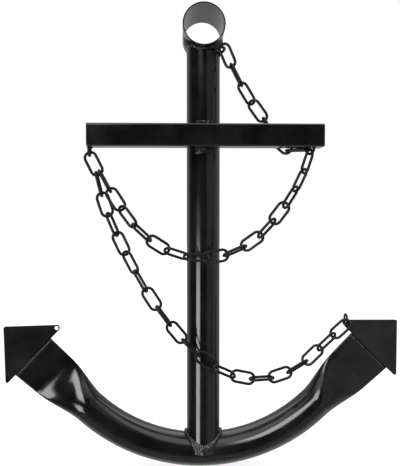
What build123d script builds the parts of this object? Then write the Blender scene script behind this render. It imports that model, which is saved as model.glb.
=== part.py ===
from build123d import *
import math
import os

# Boat anchor of welded steel tube with two triangular flukes and hanging chain.
# Millimetres. The shank's axis and the head ring's bore axis cross at the origin,
# +Z is up, +X runs along the crossbar, and the crossbar is on the -Y side (the front).

# Shank and head ring
TUBE_D = 48.3
TUBE_WALL = 1.65
RING_D = 60.3
RING_WALL = 1.65
RING_LENGTH = 92.0
RING_SET_BACK = 11.0

# Crossbar: square tube welded across the front of the shank
BAR_SIZE = 31.75
BAR_WALL = 2.0
BAR_CORNER = 3.0
BAR_LENGTH = 328.5
BAR_OFFSET = 2.0
BAR_TOP_Z = -141.3
ROOT_GAP = 0.1
CAP_THICKNESS = 3.0

# Arm: round tube bent to an arc, its straight ends pressed flat
ARM_RADIUS = 242.8
ARM_CENTRE_Z = -372.3
ARM_HALF_ANGLE = 43.0
ARM_STRAIGHT = 74.0
ARM_FLARE = 70.0
ARM_TILT = -0.72
ARM_SHIFT = -2.5
FOOT_SPAN = 40.0
FLAT_THICKNESS = 2 * TUBE_WALL
FLAT_START_WIDTH = 71.8
FLAT_END_WIDTH = 76.2
FLAT_LENGTH = 39.0
FLAT_OVERLAP = 17.0

# Flukes: right-angled plates on the front of the arm's flat ends
FLUKE_THICKNESS = 3.2
FLUKE_OUTER_X = 289.5
FLUKE_TOP_Z = -427.0
FLUKE_INNER_X = 213.0
FLUKE_BOTTOM_Z = -509.5
FLUKE_CORNER = 2.5
FLUKE_HOLE_D = 6.0
FLUKE_HOLE_RIM = 4.6
FLUKE_TOE = 0.9

# Chain
WIRE_D = 4.0
LINK_WIDTH = 20.0
LINK_PLAY = 0.4
LINK_PITCH = 29.8

# Chain eyes: bent wire welded on, the size of a chain link's end
EYE_Y = -38.0
LEFT_EYE_X = -160.0
LEFT_EYE_DROP = 14.0
RIGHT_EYE_X = 149.0
RIGHT_EYE_TURN = -57.0
RIGHT_EYE_LEG = 0.7
UPPER_HOOK_ANGLE = 50.0
HEAD_HOOK_ANGLE = 12.0
HEAD_HOOK_PLAY = 1.5
HEAD_SLACK = 1.5
HEAD_EYE_ANGLE = -40.0
HEAD_EYE_Z = -33.5
HEAD_EYE_RISE = 25.0
HEAD_EYE_REACH = 4.5

# Small closed ring through the right fluke's hole
FLUKE_RING_D = 18.0
FLUKE_RING_WIRE = 3.0

# How the chain hangs, left to right: (link, degrees above level), (joint, Y) and (link, spacing)
TOP_LINK_ANGLE = -63.5
UPPER_LINKS = 15
UPPER_ANGLES = [(0, -59), (2, -52), (4, -31), (6, -3), (8, 24), (10, 48), (12, 58), (14, 71)]
UPPER_DEPTHS = [(0, -38.0), (1, -42.5), (3, -43.0), (13, -42.0), (15, -40.2)]
UPPER_SPACING = [(0, 29.8), (7, 28.0), (13, 27.2), (14, 29.6)]
UPPER_ROLLS = [88, 18, -44, -106, 14, -54, -118, -4, -70, 18, -60, 8, -54, -112, -48]
LOWER_LINKS = 19
LOWER_ANGLES = [(0, -78), (2, -68), (5, -61), (8, -51), (10, -38), (12, -13), (14, 16), (16, 42), (18, 40)]
LOWER_DEPTHS = [(0, -38.0), (1, -34.5), (3, -34.0), (7, -36.0), (11, -36.0), (19, -11.5)]
LOWER_SPACING = [(0, 29.7), (10, 29.8), (13, 27.8), (18, 28.6)]
LOWER_ROLLS = [90, 3, -60, 28, -42, -100, 5, 85, 0, -90, 2, 75, 8, 90, 5, -62, 30, -45, 35]
HEAD_LINKS = 7
HEAD_ANGLES = [(0, -71), (3, -56), (4, -62), (5, -44), (6, 0)]
HEAD_DEPTHS = [(0, -24.5), (3, -15.5), (5, -12.5), (6, -21.0), (7, -32.5)]
HEAD_SPACING = [(0, 29.7), (6, 29.8)]
HEAD_ROLLS = [-34, 90, 30, -30, -90, -8, 88]

# Weld beads
BEAD = 4.0
FOOT_BEAD = 3.6
FLUKE_BEAD_R = 2.6
EYE_BEAD_R = 3.4
EYE_BEAD_HEIGHT = 1.2

TUBE_R = TUBE_D / 2
RING_R = RING_D / 2
ARM_BOTTOM_Z = ARM_CENTRE_Z - ARM_RADIUS
BAR_FRONT_Y = -TUBE_R - ROOT_GAP - BAR_SIZE
BAR_BOTTOM_Z = BAR_TOP_Z - BAR_SIZE
BAR_MIDDLE_Y = BAR_FRONT_Y + BAR_SIZE / 2
FLUKE_FRONT_Y = -FLAT_THICKNESS / 2 - FLUKE_THICKNESS
WIRE_R = WIRE_D / 2
CROWN_R = (LINK_WIDTH - WIRE_D) / 2
ARM_AXIS = Axis((0, 0, ARM_CENTRE_Z), (0, 1, 0))
FLUKE_CORNER_AXIS = Axis((FLUKE_OUTER_X, 0, FLUKE_TOP_Z), (0, 1, 0))


def tube(outer_r, wall, length):
    """Round tube along Z, centred on the origin."""
    return Cylinder(outer_r, length) - Cylinder(outer_r - wall, length + 2)


def along_y(shape, y_middle):
    """Turn a shape made along Z so that it lies along Y."""
    return Pos(0, y_middle, 0) * Rot(X=90) * shape


def tilted(shape):
    """Move a piece of the arm by the small angle and offset at which the arm is welded on."""
    return Pos(ARM_SHIFT, 0, 0) * shape.rotate(ARM_AXIS, ARM_TILT)


# ---------------------------------------------------------------- frame


def make_head_ring():
    ring = tube(RING_R, RING_WALL, RING_LENGTH)
    return along_y(ring, RING_SET_BACK)


def arm_envelope(radius):
    """The arm's bend near the shank's foot, as a solid rod of the given radius."""
    bend = Rot(Z=-90 - FOOT_SPAN / 2) * Torus(ARM_RADIUS, radius, major_angle=FOOT_SPAN, align=None)
    return Pos(ARM_SHIFT, 0, ARM_CENTRE_Z) * Rot(X=90) * bend


def make_shank():
    length = -ARM_BOTTOM_Z
    shank = Pos(0, 0, ARM_BOTTOM_Z / 2) * tube(TUBE_R, TUBE_WALL, length)
    shank -= along_y(Cylinder(RING_R, RING_LENGTH * 2), 0)
    shank -= arm_envelope(TUBE_R + ROOT_GAP)
    return max(shank.solids(), key=lambda piece: piece.volume)


def bar_section(size, corner):
    return Plane.YZ * RectangleRounded(size, size, corner)


def make_crossbar():
    length = BAR_LENGTH - 2 * CAP_THICKNESS
    outer = extrude(bar_section(BAR_SIZE, BAR_CORNER), length / 2, both=True)
    bore = extrude(bar_section(BAR_SIZE - 2 * BAR_WALL, BAR_CORNER - BAR_WALL), length, both=True)
    return Pos(BAR_OFFSET, BAR_MIDDLE_Y, BAR_TOP_Z - BAR_SIZE / 2) * (outer - bore)


def make_crossbar_cap(side):
    plate = extrude(bar_section(BAR_SIZE, BAR_CORNER), CAP_THICKNESS / 2, both=True)
    outer_edge = [e for e in plate.edges() if abs(e.center().X - side * CAP_THICKNESS / 2) < 0.01]
    plate = chamfer(outer_edge, 0.8)
    x = BAR_OFFSET + side * (BAR_LENGTH - CAP_THICKNESS) / 2
    return Pos(x, BAR_MIDDLE_Y, BAR_TOP_Z - BAR_SIZE / 2) * plate


def arm_point(angle, beyond):
    """Centre line of the arm: an angle from its lowest point, then a straight run."""
    a = math.radians(angle)
    x = ARM_RADIUS * math.sin(a) + beyond * math.cos(a)
    z = ARM_CENTRE_Z - ARM_RADIUS * math.cos(a) + beyond * math.sin(a)
    return Vector(x, 0, z)


def arm_plane(beyond):
    """Cross-section plane of the right-hand straight: its X axis lies across the arm."""
    a = math.radians(ARM_HALF_ANGLE)
    direction = (math.cos(a), 0, math.sin(a))
    return Plane(arm_point(ARM_HALF_ANGLE, beyond), x_dir=(-math.sin(a), 0, math.cos(a)), z_dir=direction)


def flattened(width_r, thick_r, beyond):
    return arm_plane(beyond) * Ellipse(width_r, thick_r)


def flare_loft(thick_start, thick_end, width_start, width_end):
    """Round tube pressed gradually flat over the flare's length."""
    steps = 7
    start = ARM_STRAIGHT - ARM_FLARE
    sections = []
    for i in range(steps + 1):
        t = i / steps
        wide = width_start + (width_end - width_start) * math.sin(t * math.pi / 2) ** 1.5
        thick = thick_start + (thick_end - thick_start) * (1 - math.cos(t * math.pi)) / 2
        sections.append(flattened(wide, thick, start + t * ARM_FLARE))
    return loft(sections)


def make_flat():
    """Right-hand flat: both walls pressed together, widening a little towards its end."""
    length = FLAT_LENGTH + FLAT_OVERLAP
    a = FLAT_START_WIDTH / 2
    b = FLAT_END_WIDTH / 2
    outline = Polyline((-a, 0), (a, 0), (b, length), (-b, length), close=True)
    crease = arm_plane(ARM_STRAIGHT)
    front = Plane(crease.origin, x_dir=crease.x_dir, z_dir=(0, 1, 0))
    flat = extrude(front * make_face(outline), FLAT_THICKNESS / 2, both=True)
    side_edges = [e for e in flat.edges() if abs(e.length - length) < 1.0]
    return fillet(side_edges, FLAT_THICKNESS * 0.45)


def make_arm_end():
    """Right-hand end of the arm: a short round run, the flare and the flat."""
    start = ARM_STRAIGHT - ARM_FLARE
    run = extrude(arm_plane(0) * Circle(TUBE_R), start)
    run -= extrude(arm_plane(0) * Circle(TUBE_R - TUBE_WALL), start)
    flare = flare_loft(TUBE_R, FLAT_THICKNESS / 2, TUBE_R, FLAT_START_WIDTH / 2)
    inner_r = TUBE_R - TUBE_WALL
    flare -= flare_loft(inner_r, 0.1, inner_r, FLAT_START_WIDTH / 2 - TUBE_WALL)
    return run + flare + make_flat()


def make_arm():
    path_plane = Pos(0, 0, ARM_CENTRE_Z) * Rot(X=90)
    sweep_angle = 2 * ARM_HALF_ANGLE
    section = Plane.XZ * Pos(ARM_RADIUS, 0) * (Circle(TUBE_R) - Circle(TUBE_R - TUBE_WALL))
    bend = revolve(section, Axis.Z, sweep_angle)
    bend = path_plane * Rot(Z=-90 - ARM_HALF_ANGLE) * bend
    end = make_arm_end()
    arm = bend + end + mirror(end, Plane.YZ)
    return tilted(arm)


def fluke_slant():
    """Ends of the right fluke's slanting edge, and the direction out of it towards the arm."""
    hole = Vector(FLUKE_INNER_X, FLUKE_TOP_Z - FLUKE_HOLE_RIM)
    foot = Vector(FLUKE_OUTER_X - FLUKE_CORNER, FLUKE_BOTTOM_Z + FLUKE_CORNER)
    reach = foot - hole
    lean = math.atan2(reach.Y, reach.X) - math.asin((FLUKE_HOLE_RIM - FLUKE_CORNER) / reach.length)
    across = Vector(math.sin(lean), -math.cos(lean))
    return hole + across * FLUKE_HOLE_RIM, foot + across * FLUKE_CORNER, across


def fluke_outline():
    """Right fluke seen from the front: a right angle outside, a small round tip inside."""
    tip_low, foot_in, across = fluke_slant()
    hole = tip_low - across * FLUKE_HOLE_RIM
    foot = foot_in - across * FLUKE_CORNER
    inward = (tip_low - foot_in).normalized()
    top_in = hole + Vector(0, FLUKE_HOLE_RIM)
    foot_out = foot + Vector(FLUKE_CORNER, 0)
    tip_mid = hole + inward * FLUKE_HOLE_RIM
    foot_mid = foot - inward * FLUKE_CORNER
    corner = Vector(FLUKE_OUTER_X, FLUKE_TOP_Z)
    lines = [
        Line(top_in, corner),
        Line(corner, foot_out),
        ThreePointArc(foot_out, foot_mid, foot_in),
        Line(foot_in, tip_low),
        ThreePointArc(tip_low, tip_mid, top_in),
    ]
    face = make_face(Wire(lines))
    outer = face.vertices().sort_by(lambda v: v.X + v.Y)[-1]
    face = fillet(outer, FLUKE_CORNER)
    return face - Pos(hole.X, hole.Y) * Circle(FLUKE_HOLE_D / 2)


def fluke_plate():
    """Right fluke, its inner corner turned up a little about its outer corner."""
    front = Plane((0, FLUKE_FRONT_Y, 0), x_dir=(1, 0, 0), z_dir=(0, -1, 0))
    plate = extrude(front * fluke_outline(), -FLUKE_THICKNESS)
    return plate.rotate(FLUKE_CORNER_AXIS, FLUKE_TOE)


def make_fluke(side):
    plate = fluke_plate()
    if side < 0:
        plate = mirror(plate, Plane.YZ)
    return tilted(plate)


def about(x, z, centre_x, centre_z, angle):
    """Turn a point in XZ about a centre; a positive angle lifts what lies to the left."""
    a = math.radians(angle)
    dx = x - centre_x
    dz = z - centre_z
    return centre_x + dx * math.cos(a) + dz * math.sin(a), centre_z + dz * math.cos(a) - dx * math.sin(a)


def fluke_hole(side):
    """Middle of a fluke's hole as the fluke sits on the arm."""
    x, z = about(FLUKE_INNER_X, FLUKE_TOP_Z - FLUKE_HOLE_RIM, FLUKE_OUTER_X, FLUKE_TOP_Z, FLUKE_TOE)
    x, z = about(side * x, z, 0, ARM_CENTRE_Z, ARM_TILT)
    return Vector(x + ARM_SHIFT, FLUKE_FRONT_Y + FLUKE_THICKNESS / 2, z)


# ---------------------------------------------------------------- chain eyes


def wire_bow(leg):
    """Bent wire in the XZ plane: a half circle below Z = 0 and two legs above it."""
    bow = revolve(Plane.XY * Pos(CROWN_R, 0) * Circle(WIRE_R), Axis.Y, 180)
    if bow.center().Z > 0:
        bow = mirror(bow, Plane.XY)
    if leg > 0:
        for side in (-1, 1):
            bow += Pos(side * CROWN_R, 0, leg / 2) * Cylinder(WIRE_R, leg)
    return bow


def make_left_eye():
    leg = LEFT_EYE_DROP - CROWN_R - WIRE_R
    return Pos(LEFT_EYE_X, EYE_Y, BAR_BOTTOM_Z - leg) * Rot(Z=90) * wire_bow(leg)


def make_right_eye():
    return Pos(right_eye_centre()) * Rot(Z=RIGHT_EYE_TURN) * wire_bow(RIGHT_EYE_LEG)


def right_eye_centre():
    return Vector(RIGHT_EYE_X, EYE_Y, BAR_BOTTOM_Z - RIGHT_EYE_LEG)


def right_eye_wire(side, low):
    """Centre of the right eye's wire, in front (1) or behind (-1), some degrees down its arc."""
    turn = math.radians(RIGHT_EYE_TURN)
    across = Vector(math.cos(turn), math.sin(turn), 0)
    low = math.radians(low)
    return right_eye_centre() + across * (side * CROWN_R * math.cos(low)) - Vector(0, 0, CROWN_R * math.sin(low))


def head_eye_plane():
    """Plane across the head eye's legs; its Z axis points back into the shank."""
    out = math.radians(HEAD_EYE_ANGLE)
    rise = math.radians(HEAD_EYE_RISE)
    radial = Vector(math.cos(out), math.sin(out), 0)
    pull = radial * math.cos(rise) + Vector(0, 0, math.sin(rise))
    level = Vector(-math.sin(out), math.cos(out), 0)
    middle = radial * (TUBE_R + HEAD_EYE_REACH) + Vector(0, 0, HEAD_EYE_Z)
    return Plane(middle, x_dir=level, z_dir=-pull)


def make_head_eye():
    eye = head_eye_plane().location * wire_bow(TUBE_R)
    eye -= Pos(0, 0, HEAD_EYE_Z) * Cylinder(TUBE_R, 100)
    return max(eye.solids(), key=lambda piece: piece.center().X)


def make_fluke_ring():
    mean_r = (FLUKE_RING_D - FLUKE_RING_WIRE) / 2
    return Pos(fluke_ring_centre()) * Rot(Y=90) * Torus(mean_r, FLUKE_RING_WIRE / 2)


def fluke_ring_centre():
    hole = fluke_hole(1)
    return Vector(hole.X - 0.8, FLUKE_FRONT_Y - 1.6, hole.Z + 6.0)


# ---------------------------------------------------------------- chain


def make_link():
    """One link, its long axis along X and its loop in the XY plane."""
    straight = LINK_PITCH + LINK_PLAY - 2 * (CROWN_R - WIRE_R)
    crown = revolve(Plane.XZ * Pos(CROWN_R, 0) * Circle(WIRE_R), Axis.Z, 180)
    if crown.center().Y < 0:
        crown = mirror(crown, Plane.XZ)
    crown = Pos(straight / 2, 0, 0) * Rot(Z=-90) * crown
    link = crown + mirror(crown, Plane.YZ)
    for side in (-1, 1):
        link += Pos(0, side * CROWN_R, 0) * Rot(Y=90) * Cylinder(WIRE_R, straight)
    return link


def between(keys, step):
    """Value at a step, straight between (step, value) pairs."""
    for (s0, v0), (s1, v1) in zip(keys, keys[1:]):
        if step <= s1:
            return v0 + (v1 - v0) * (step - s0) / (s1 - s0)
    return keys[-1][1]


def run_of_joints(start, count, spacing, angles, depths, turn, bow):
    """Joints of a hanging run of links."""
    joints = [start]
    for i in range(count):
        bend = bow * ((2 * i + 1) / count - 1)
        angle = math.radians(between(angles, i) + turn + bend)
        dy = between(depths, i + 1) - between(depths, i)
        level = math.sqrt(between(spacing, i) ** 2 - dy**2)
        joints.append(joints[-1] + Vector(level * math.cos(angle), dy, level * math.sin(angle)))
    return joints


def hang(start, end, count, spacing, angles, depths):
    """Turn and bow the run until its last joint meets the given end."""
    turn = 0.0
    bow = 0.0
    step = 0.01
    for _ in range(12):
        here = run_of_joints(start, count, spacing, angles, depths, turn, bow)[-1]
        by_turn = run_of_joints(start, count, spacing, angles, depths, turn + step, bow)[-1]
        by_bow = run_of_joints(start, count, spacing, angles, depths, turn, bow + step)[-1]
        a, c = (by_turn.X - here.X) / step, (by_turn.Z - here.Z) / step
        b, d = (by_bow.X - here.X) / step, (by_bow.Z - here.Z) / step
        ex, ez = end.X - here.X, end.Z - here.Z
        det = a * d - b * c
        turn += (ex * d - b * ez) / det
        bow += (a * ez - ex * c) / det
    return run_of_joints(start, count, spacing, angles, depths, turn, bow)


def place_link(link, start, end, roll):
    """Put a link between two joints; roll 0 shows its loop from the front."""
    axis = (end - start).normalized()
    level = Vector(-axis.Z, 0, axis.X).normalized()
    deep = axis.cross(level).normalized()
    a = math.radians(roll)
    side = level * math.cos(a) - deep * math.sin(a)
    frame = Plane((start + end) / 2, x_dir=axis, z_dir=axis.cross(side))
    return frame.location * link


def make_run(name, joints, rolls, link):
    """Every link of a run, and the last one slid back from the sharp bend behind it if need be."""
    pieces = {}
    for i, roll in enumerate(rolls):
        start, end = joints[i], joints[i + 1]
        if name == "head_link" and i == HEAD_LINKS - 1:
            slide = (end - start).normalized() * HEAD_SLACK
            start, end = start - slide, end - slide
        pieces[f"{name}_{i + 1:02d}"] = place_link(link, start, end, roll)
    return pieces


def direction(angle):
    a = math.radians(angle)
    return Vector(math.cos(a), 0, math.sin(a))


def top_link_joints():
    axis = direction(TOP_LINK_ANGLE)
    wire = Vector(LEFT_EYE_X, EYE_Y, BAR_BOTTOM_Z - LEFT_EYE_DROP + WIRE_R)
    start = wire - axis * (WIRE_R + LINK_PLAY / 2)
    return start, start + axis * LINK_PITCH


def shared_crown(side):
    """Start of a swag in the top link's lower end, where two wires sit side by side."""
    start, end = top_link_joints()
    axis = direction(TOP_LINK_ANGLE)
    across = Vector(-axis.Z, 0, axis.X)
    centre = end + axis * (LINK_PLAY / 2 - (CROWN_R - WIRE_R))
    seat = CROWN_R - WIRE_D - LINK_PLAY
    apart = WIRE_R + LINK_PLAY
    return centre + axis * math.sqrt(seat**2 - apart**2) + across * (side * apart)


def upper_joints():
    start = shared_crown(1) + direction(UPPER_ANGLES[0][1]) * (WIRE_R + LINK_PLAY / 2)
    centre = right_eye_centre()
    inward = (centre - right_eye_wire(1, UPPER_HOOK_ANGLE)).normalized()
    crown = right_eye_wire(1, UPPER_HOOK_ANGLE) + inward * (WIRE_D + LINK_PLAY)
    end = crown - direction(UPPER_ANGLES[-1][1]) * (WIRE_R + LINK_PLAY / 2)
    return hang(start, end, UPPER_LINKS, UPPER_SPACING, UPPER_ANGLES, UPPER_DEPTHS)


def lower_joints():
    start = shared_crown(-1) + direction(LOWER_ANGLES[0][1]) * (WIRE_R + LINK_PLAY / 2)
    mean_r = (FLUKE_RING_D - FLUKE_RING_WIRE) / 2
    wire = fluke_ring_centre() + Vector(0, -1, -1).normalized() * mean_r
    end = wire + direction(LOWER_ANGLES[-1][1]) * (FLUKE_RING_WIRE / 2 + 2 * LINK_PLAY)
    return hang(start, end, LOWER_LINKS, LOWER_SPACING, LOWER_ANGLES, LOWER_DEPTHS)


def head_joints():
    place = head_eye_plane()
    wire = place.origin - place.z_dir * CROWN_R
    start = wire + Vector(0, 0, WIRE_R + LINK_PLAY / 2)
    heading = direction(HEAD_ANGLES[-1][1])
    reach = WIRE_R + LINK_PLAY / 2 + HEAD_HOOK_PLAY + HEAD_SLACK
    end = right_eye_wire(-1, HEAD_HOOK_ANGLE) + heading * reach
    return hang(start, end, HEAD_LINKS, HEAD_SPACING, HEAD_ANGLES, HEAD_DEPTHS)


# ---------------------------------------------------------------- welds


def make_head_ring_weld():
    around_shank = Pos(0, 0, -RING_R) * tube(TUBE_R + BEAD, BEAD, 60)
    around_ring = along_y(tube(RING_R + BEAD, BEAD, RING_LENGTH), RING_SET_BACK)
    lower = Pos(0, 0, -RING_R) * Box(80, 80, 60)
    return (around_shank & around_ring & lower) - make_head_eye()


def make_foot_weld():
    collar = Pos(0, 0, ARM_BOTTOM_Z + TUBE_R) * tube(TUBE_R + FOOT_BEAD, FOOT_BEAD, TUBE_D)
    weld = (collar - arm_envelope(TUBE_R + ROOT_GAP)) & arm_envelope(TUBE_R + BEAD)
    return max(weld.solids(), key=lambda piece: piece.volume)


def make_crossbar_welds():
    collar = tube(TUBE_R + 7, 7, 7)
    front = Pos(0, -TUBE_R, 0) * Box(24, 20, 20)
    bead = collar & front
    above = Pos(0, 0, BAR_TOP_Z + 3.5) * bead
    below = Pos(0, 0, BAR_BOTTOM_Z - 3.5) * bead
    return [above, below]


def along_edge(radius, length, middle, heading):
    """Rod on the flats' front face, centred on a point and lying along a heading in XZ."""
    rod = Rot(Y=90) * Cylinder(radius, length)
    return Pos(middle.X, -FLAT_THICKNESS / 2, middle.Z) * Rot(Y=-heading) * rod


def make_fluke_welds(side):
    """Two beads on a fluke: in front along its slanting edge, behind across the flat's end."""
    tip_low, foot_in, across = fluke_slant()
    slant = foot_in - tip_low
    base = arm_point(ARM_HALF_ANGLE, ARM_STRAIGHT)
    outward = arm_plane(0).z_dir
    reach = (tip_low - Vector(base.X, base.Z)).dot(across) / (outward.X * across.X + outward.Z * across.Y)
    length = FLAT_END_WIDTH - 2 * FLUKE_BEAD_R
    heading = math.degrees(math.atan2(slant.Y, slant.X))
    front = along_edge(FLUKE_BEAD_R, length, base + outward * reach, heading)
    front = front.rotate(FLUKE_CORNER_AXIS, FLUKE_TOE)
    end = base + outward * (FLAT_LENGTH + FLAT_OVERLAP)
    behind = along_edge(FLUKE_BEAD_R, length, end, ARM_HALF_ANGLE - 90)
    size = 4 * FLUKE_OUTER_X
    behind_face = Pos(0, (size - FLAT_THICKNESS) / 2, 0) * Box(size, size, size)
    before_face = Pos(0, -(size + FLAT_THICKNESS) / 2, 0) * Box(size, size, size)
    front = front - behind_face - fluke_plate()
    behind = behind - before_face - make_flat()
    beads = []
    for bead in (front, behind):
        if side < 0:
            bead = mirror(bead, Plane.YZ)
        beads.append(tilted(bead))
    return beads


def collar_round(leg_end, height):
    """Weld bead round a wire that stands down from the crossbar."""
    return Pos(leg_end) * Pos(0, 0, -height / 2) * tube(EYE_BEAD_R, EYE_BEAD_R - WIRE_R, height)


def make_eye_welds():
    """Beads where the three eyes' legs meet the crossbar and the shank."""
    beads = []
    for side in (-1, 1):
        beads.append(collar_round(Vector(LEFT_EYE_X, EYE_Y + side * CROWN_R, BAR_BOTTOM_Z), EYE_BEAD_HEIGHT))
        leg = right_eye_wire(side, 0)
        beads.append(collar_round(Vector(leg.X, leg.Y, BAR_BOTTOM_Z), RIGHT_EYE_LEG))
    shell = tube(TUBE_R + EYE_BEAD_HEIGHT, EYE_BEAD_HEIGHT, 2 * RING_LENGTH)
    legs = Pos(0, 0, TUBE_R) * (Pos(-CROWN_R, 0, 0) * Cylinder(EYE_BEAD_R, TUBE_D))
    legs += Pos(0, 0, TUBE_R) * (Pos(CROWN_R, 0, 0) * Cylinder(EYE_BEAD_R, TUBE_D))
    bead = head_eye_plane().location * legs & shell
    bead -= make_head_eye()
    bead -= make_head_ring_weld()
    bead -= along_y(Cylinder(RING_R, RING_LENGTH * 2), 0)
    beads.extend(piece for piece in bead.solids() if piece.center().X > 0)
    return beads


WRITTEN = []


def save(name, shape):
    solids = shape if isinstance(shape, list) else [shape]
    flat = []
    for piece in solids:
        flat.extend(piece.solids())
    body = flat[0] if len(flat) == 1 else Compound(children=flat)
    export_step(body, f"parts/{name}.step")
    WRITTEN.append(name)


def build():
    os.makedirs("parts", exist_ok=True)
    save("head_ring", make_head_ring())
    save("shank_tube", make_shank())
    save("crossbar_tube", make_crossbar())
    save("crossbar_cap_left", make_crossbar_cap(-1))
    save("crossbar_cap_right", make_crossbar_cap(1))
    save("arm_tube", make_arm())
    save("left_fluke", make_fluke(-1))
    save("right_fluke", make_fluke(1))
    save("left_chain_eye", make_left_eye())
    save("right_chain_eye", make_right_eye())
    save("head_chain_eye", make_head_eye())
    save("fluke_ring", make_fluke_ring())
    save("head_ring_weld", make_head_ring_weld())
    save("shank_foot_weld", make_foot_weld())
    save("crossbar_welds", make_crossbar_welds())
    save("fluke_welds", make_fluke_welds(-1) + make_fluke_welds(1))
    save("chain_eye_welds", make_eye_welds())
    link = make_link()
    start, end = top_link_joints()
    save("top_left_link", place_link(link, start, end, 0))
    for name, joints, rolls in (
        ("upper_link", upper_joints(), UPPER_ROLLS),
        ("lower_link", lower_joints(), LOWER_ROLLS),
        ("head_link", head_joints(), HEAD_ROLLS),
    ):
        for node, piece in make_run(name, joints, rolls, link).items():
            save(node, piece)
    print(len(WRITTEN), "nodes written")


build()
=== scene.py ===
"""Boat anchor in gloss black enamel: welded tube frame, two plate flukes and a length of chain."""
import math

import bpy
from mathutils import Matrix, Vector, noise


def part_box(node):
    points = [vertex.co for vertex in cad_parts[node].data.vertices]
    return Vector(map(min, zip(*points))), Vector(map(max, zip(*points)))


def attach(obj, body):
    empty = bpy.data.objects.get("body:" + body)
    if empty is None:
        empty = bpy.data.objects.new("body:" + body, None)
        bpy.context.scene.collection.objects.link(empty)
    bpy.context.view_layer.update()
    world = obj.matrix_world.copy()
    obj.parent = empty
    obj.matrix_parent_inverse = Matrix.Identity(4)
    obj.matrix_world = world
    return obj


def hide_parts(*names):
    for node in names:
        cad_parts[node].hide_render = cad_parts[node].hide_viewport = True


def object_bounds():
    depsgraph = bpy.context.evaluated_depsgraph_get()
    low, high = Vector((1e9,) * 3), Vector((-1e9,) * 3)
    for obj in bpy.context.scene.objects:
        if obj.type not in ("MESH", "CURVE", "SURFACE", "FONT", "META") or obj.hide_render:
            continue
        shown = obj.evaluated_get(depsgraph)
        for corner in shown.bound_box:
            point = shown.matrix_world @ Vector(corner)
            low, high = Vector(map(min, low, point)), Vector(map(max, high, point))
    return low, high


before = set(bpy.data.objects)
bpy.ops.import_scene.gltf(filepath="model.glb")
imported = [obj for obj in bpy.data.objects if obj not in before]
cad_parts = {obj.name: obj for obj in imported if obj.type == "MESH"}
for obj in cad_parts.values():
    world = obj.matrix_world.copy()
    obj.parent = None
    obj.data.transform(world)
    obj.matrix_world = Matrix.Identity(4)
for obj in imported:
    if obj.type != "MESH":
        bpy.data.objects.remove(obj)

ROOT = "anchor_frame"
CAD_BOUNDS = [list(corner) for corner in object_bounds()]
SHANK_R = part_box("shank_tube")[1].x

# Camera: place in metres, angles in degrees, sensor and lens in millimetres
CAMERA_X = -0.0326
CAMERA_DISTANCE = 0.9
CAMERA_Z = -0.2631
CAMERA_YAW = 1.77
CAMERA_PITCH = -1.99
SENSOR = 36.0
FOCAL_LENGTH = 47.36

# Noise in the paint: scale per metre, detail, roughness
CLOUDS = (26, 5, 0.6)
SPECKS = (900, 2, 0.5)
WAVES = (22, 2, 0.5)
PEEL = (620, 2, 0.5)
RUBS = (1.0, 3, 0.6)
RUB_STRETCH = (140, 140, 900)

# Limits of that noise between which each effect comes in
CLOUD_TONES = (0.38, 0.68)
CLOUD_GLOSS = (0.3, 0.75)
SPECK_EDGES = (0.70, 0.78)
RUB_EDGES = (0.55, 0.75)

# Strength of each effect: the paler tone is the colour times a gain plus a lift, and the gloss runs
# between two multiples of the roughness
PALE_GAIN = 1.9
PALE_LIFT = 0.004
DUST_COVER = 0.4
DUST_COLOUR = (0.075, 0.072, 0.068)
GLOSSIEST = 0.8
DULLEST = 1.35
RUB_DULLING = 0.05
COAT_ROUGHNESS = 0.06

# Weld beads: sizes in metres, noise scales per metre. A ripple is the rectified sine less about its
# mean, so that the bead keeps its size.
VOXEL = 0.0005
RIPPLE_PITCH = 0.0024
RIPPLE_DEPTH = 0.00045
RIPPLE_MEAN = 0.6
WANDER_SCALE = 160
LUMP_DEPTH = 0.0005
LUMP_SCALE = 240

# Direction of the flukes' slanting edges
SLANT_OUT = 0.72
SLANT_DOWN = 0.69

# Floor and reflector card, in metres
FLOOR_HALF = 6.0
FLOOR_DROP = 0.001
FLOOR_GREY = 0.35
FLOOR_GLOW = 0.82
CARD_X = (0.60, 2.4)
CARD_Y = -1.5
CARD_Z = (-1.8, 1.2)
CARD_GREY = 0.0
CARD_GLOW = 0.27

# Studio light by direction, in degrees: azimuth 0 is the camera's side and positive is the picture's
# right. A band is its two limits and the width of the soft edge outside each.
ROOM_LEVEL = 0.38
DARK_LEVEL = 0.025
DARK_BAND = (-95, 50, 24)
BACKDROP_LEVEL = 1.0
ALL_ROUND = None
SOFT_LIGHTS = (
    # azimuth, elevation, strength: tall box on the left, overhead, high box on the left, low fill
    ((-46, -27, 5), (-26, -7, 6), 6.5),
    (ALL_ROUND, (48, 80, 12), 1.4),
    ((-34, -10, 5), (20, 36, 5), 7.0),
    (ALL_ROUND, (-90, -44, 12), 0.24),
)


# ---------------------------------------------------------------- nodes


def add(tree, kind, **values):
    """New node with its inputs set by name."""
    node = tree.nodes.new(kind)
    for name, value in values.items():
        node.inputs[name].default_value = value
    return node


def noise_field(tree, coordinates, scale, detail, roughness):
    field = add(tree, "ShaderNodeTexNoise", Scale=scale, Detail=detail, Roughness=roughness)
    tree.links.new(coordinates, field.inputs["Vector"])
    return field.outputs["Fac"]


def stretched(tree, coordinates, scale):
    """Coordinates scaled unevenly, for the rubs."""
    mapping = add(tree, "ShaderNodeMapping", Scale=scale)
    tree.links.new(coordinates, mapping.inputs["Vector"])
    return mapping.outputs["Vector"]


def spread(tree, value, low, high, out_low, out_high):
    """Value mapped from low..high to out_low..out_high, held at the ends."""
    node = tree.nodes.new("ShaderNodeMapRange")
    node.inputs["From Min"].default_value = low
    node.inputs["From Max"].default_value = high
    node.inputs["To Min"].default_value = out_low
    node.inputs["To Max"].default_value = out_high
    tree.links.new(value, node.inputs["Value"])
    return node.outputs["Result"]


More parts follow.
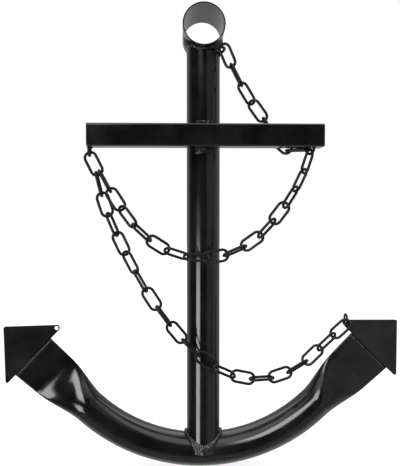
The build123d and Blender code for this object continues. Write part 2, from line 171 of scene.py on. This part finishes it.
def mixed(tree, factor, first, second):
    """Colour between two colours, each a tuple or another node's output."""
    node = tree.nodes.new("ShaderNodeMix")
    node.data_type = "RGBA"
    tree.links.new(factor, node.inputs["Factor"])
    for name, colour in (("A", first), ("B", second)):
        socket = [s for s in node.inputs if s.name == name and s.type == "RGBA"][0]
        if isinstance(colour, tuple):
            socket.default_value = (*colour, 1.0)
        else:
            tree.links.new(colour, socket)
    return [s for s in node.outputs if s.type == "RGBA"][0]


def bumped(tree, height, distance, below=None):
    """Normal raised by a height, on top of the normal from another bump where there is one."""
    bump = add(tree, "ShaderNodeBump", Strength=1.0, Distance=distance)
    tree.links.new(height, bump.inputs["Height"])
    if below is not None:
        tree.links.new(below, bump.inputs["Normal"])
    return bump.outputs["Normal"]


def math_node(tree, operation, first, second=None):
    """Result of an operation on numbers or other nodes' outputs."""
    node = tree.nodes.new("ShaderNodeMath")
    node.operation = operation
    for index, value in enumerate((first, second)):
        if value is None:
            continue
        if isinstance(value, (int, float)):
            node.inputs[index].default_value = value
        else:
            tree.links.new(value, node.inputs[index])
    return node.outputs[0]


# ---------------------------------------------------------------- materials


def enamel(name, colour, roughness, waves=0.0003, peel=0.000025, coat=0.35, shine=0.5):
    """Gloss black paint: cloudy depth, slow waves, orange peel, dust specks and fine rubs."""
    material = bpy.data.materials.new(name)
    material.use_nodes = True
    tree = material.node_tree
    shader = tree.nodes["Principled BSDF"]
    shader.inputs["Specular IOR Level"].default_value = shine
    shader.inputs["Coat Weight"].default_value = coat
    shader.inputs["Coat Roughness"].default_value = COAT_ROUGHNESS
    place = tree.nodes.new("ShaderNodeTexCoord").outputs["Object"]
    clouds = noise_field(tree, place, *CLOUDS)
    rubs = noise_field(tree, stretched(tree, place, RUB_STRETCH), *RUBS)
    specks = noise_field(tree, place, *SPECKS)
    pale = tuple(channel * PALE_GAIN + PALE_LIFT for channel in colour)
    body = mixed(tree, spread(tree, clouds, *CLOUD_TONES, 0.0, 1.0), colour, pale)
    dust_mask = spread(tree, specks, *SPECK_EDGES, 0.0, DUST_COVER)
    body = mixed(tree, dust_mask, body, DUST_COLOUR)
    tree.links.new(body, shader.inputs["Base Color"])
    gloss = spread(tree, clouds, *CLOUD_GLOSS, roughness * GLOSSIEST, roughness * DULLEST)
    worn = spread(tree, rubs, *RUB_EDGES, 0.0, RUB_DULLING)
    tree.links.new(math_node(tree, "ADD", gloss, worn), shader.inputs["Roughness"])
    slow = bumped(tree, noise_field(tree, place, *WAVES), waves)
    fine = bumped(tree, noise_field(tree, place, *PEEL), peel, slow)
    tree.links.new(fine, shader.inputs["Normal"])
    return material


MATERIALS = {
    "tube_enamel": enamel("tube_enamel_paint", (0.0038, 0.0038, 0.0040), 0.14),
    "arm_enamel": enamel("arm_enamel_paint", (0.0040, 0.0037, 0.0036), 0.15, waves=0.0004),
    "fluke_enamel": enamel("fluke_enamel_paint", (0.0042, 0.0042, 0.0045), 0.16, waves=0.0002),
    "chain_enamel": enamel(
        "chain_enamel_paint", (0.0035, 0.0035, 0.0036), 0.32, waves=0.0001, coat=0.05, shine=0.28
    ),
    "weld_enamel": enamel("weld_enamel_paint", (0.0040, 0.0040, 0.0042), 0.16, peel=0.00006),
}


def slot_of(node):
    """Material slot of a CAD node, from its name."""
    if node.endswith(("weld", "welds")):
        return "weld_enamel"
    if "link" in node or node == "fluke_ring" or node.endswith("chain_eye"):
        return "chain_enamel"
    if node.endswith("fluke"):
        return "fluke_enamel"
    if node == "arm_tube":
        return "arm_enamel"
    return "tube_enamel"


def paint(piece, slot):
    piece.data.materials.clear()
    piece.data.materials.append(MATERIALS[slot])


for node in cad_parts:
    paint(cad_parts[node], slot_of(node))


# ---------------------------------------------------------------- welds


def remeshed(name, node):
    """Evenly meshed copy of a CAD node, ready to be worked over."""
    piece = bpy.data.objects.new(name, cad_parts[node].data.copy())
    bpy.context.scene.collection.objects.link(piece)
    voxels = piece.modifiers.new("voxels", "REMESH")
    voxels.mode = "VOXEL"
    voxels.voxel_size = VOXEL
    graph = bpy.context.evaluated_depsgraph_get()
    mesh = bpy.data.meshes.new_from_object(piece.evaluated_get(graph))
    piece.modifiers.clear()
    piece.data = mesh
    mesh.name = name
    for face in mesh.polygons:
        face.use_smooth = True
    return piece


def round_shank(point):
    """Distance along a weld that goes round the shank."""
    return math.atan2(point.y, point.x) * SHANK_R


def along_x(point):
    """Distance along a weld that goes across the anchor."""
    return point.x


def along_slant(point):
    """Distance along the flukes' slanting edges, which mirror each other."""
    return abs(point.x) * SLANT_OUT - point.z * SLANT_DOWN


def work_over(piece, along):
    """Gives a bead its stacked ripples and its uneven build-up."""
    for vertex in piece.data.vertices:
        spot = vertex.co
        wander = noise.noise(spot * WANDER_SCALE) * RIPPLE_PITCH
        ripple = abs(math.sin(math.pi * (along(spot) + wander) / RIPPLE_PITCH)) - RIPPLE_MEAN
        lump = noise.noise(spot * LUMP_SCALE)
        vertex.co = spot + vertex.normal * (ripple * RIPPLE_DEPTH + lump * LUMP_DEPTH)
    piece.data.update()


WELD_PATHS = {
    "head_ring_weld": round_shank,
    "shank_foot_weld": round_shank,
    "crossbar_welds": along_x,
    "fluke_welds": along_slant,
    "chain_eye_welds": round_shank,
}

for node, path in WELD_PATHS.items():
    bead = remeshed(node + "_bead", node)
    work_over(bead, path)
    paint(bead, "weld_enamel")
    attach(bead, ROOT)
    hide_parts(node)


# ---------------------------------------------------------------- stage


def stage_panel(name, corners, grey, glow):
    """Flat panel of the stage, of a plain grey with a glow of its own."""
    mesh = bpy.data.meshes.new(name)
    mesh.from_pydata(corners, [], [(0, 1, 2, 3)])
    panel = bpy.data.objects.new(name, mesh)
    bpy.context.scene.collection.objects.link(panel)
    material = bpy.data.materials.new(name + "_white")
    material.use_nodes = True
    shader = material.node_tree.nodes["Principled BSDF"]
    shader.inputs["Base Color"].default_value = (grey, grey, grey, 1)
    shader.inputs["Roughness"].default_value = 1.0
    shader.inputs["Specular IOR Level"].default_value = 0.0
    shader.inputs["Emission Color"].default_value = (1, 1, 1, 1)
    shader.inputs["Emission Strength"].default_value = glow
    mesh.materials.append(material)
    return panel


def make_floor():
    """Plain pale floor just under the anchor's lowest point, left out of the paint's reflections."""
    half = FLOOR_HALF
    z = CAD_BOUNDS[0][2] - FLOOR_DROP
    corners = [(-half, -half, z), (half, -half, z), (half, half, z), (-half, half, z)]
    floor = stage_panel("floor", corners, FLOOR_GREY, FLOOR_GLOW)
    floor.visible_glossy = False


def make_reflector():
    """Dim card behind the camera on the right, seen only by the paint."""
    left, right = CARD_X
    low, high = CARD_Z
    outline = ((left, low), (left, high), (right, high), (right, low))
    corners = [(x, CARD_Y, z) for x, z in outline]
    card = stage_panel("reflector", corners, CARD_GREY, CARD_GLOW)
    card.visible_camera = False
    card.visible_shadow = False


def window(tree, value, low, high, soft):
    """1 between low and high, falling to 0 over soft on each side."""
    rise = spread(tree, value, low - soft, low, 0.0, 1.0)
    fall = spread(tree, value, high, high + soft, 1.0, 0.0)
    return math_node(tree, "MULTIPLY", rise, fall)


def light_room():
    """Pale studio with a dark side and soft lights; the camera itself sees plain white."""
    world = bpy.data.worlds.new("studio")
    bpy.context.scene.world = world
    world.use_nodes = True
    tree = world.node_tree
    way = tree.nodes.new("ShaderNodeTexCoord").outputs["Generated"]
    parts = tree.nodes.new("ShaderNodeSeparateXYZ")
    tree.links.new(way, parts.inputs[0])
    x, y, z = parts.outputs
    degrees = 180 / math.pi
    toward = math_node(tree, "MULTIPLY", y, -1.0)
    azimuth = math_node(tree, "MULTIPLY", math_node(tree, "ARCTAN2", x, toward), degrees)
    elevation = math_node(tree, "MULTIPLY", math_node(tree, "ARCSINE", z), degrees)
    dark = window(tree, azimuth, *DARK_BAND)
    level = spread(tree, dark, 0.0, 1.0, ROOM_LEVEL, DARK_LEVEL)
    for across, up, strength in SOFT_LIGHTS:
        light = window(tree, elevation, *up)
        if across is not ALL_ROUND:
            light = math_node(tree, "MULTIPLY", window(tree, azimuth, *across), light)
        level = math_node(tree, "ADD", level, math_node(tree, "MULTIPLY", light, strength))
    seen = tree.nodes.new("ShaderNodeLightPath").outputs["Is Camera Ray"]
    glow = tree.nodes.new("ShaderNodeMix")
    glow.data_type = "FLOAT"
    tree.links.new(seen, glow.inputs["Factor"])
    tree.links.new(level, glow.inputs["A"])
    glow.inputs["B"].default_value = BACKDROP_LEVEL
    background = tree.nodes["Background"]
    background.inputs["Color"].default_value = (1.0, 1.0, 1.0, 1.0)
    tree.links.new(glow.outputs["Result"], background.inputs["Strength"])


def place_camera():
    """Camera in front of the anchor, turned by its yaw and pitch from looking straight back."""
    data = bpy.data.cameras.new("camera")
    data.sensor_width = SENSOR
    data.lens = FOCAL_LENGTH
    camera = bpy.data.objects.new("camera", data)
    bpy.context.scene.collection.objects.link(camera)
    camera.location = (CAMERA_X, -CAMERA_DISTANCE, CAMERA_Z)
    yaw = math.radians(CAMERA_YAW)
    pitch = math.radians(CAMERA_PITCH)
    level = math.cos(pitch)
    ahead = Vector((math.sin(yaw) * level, math.cos(yaw) * level, math.sin(pitch)))
    camera.rotation_euler = ahead.to_track_quat("-Z", "Y").to_euler()
    bpy.context.scene.camera = camera


make_floor()
make_reflector()
light_room()
place_camera()
bpy.context.scene.view_settings.view_transform = "Standard"
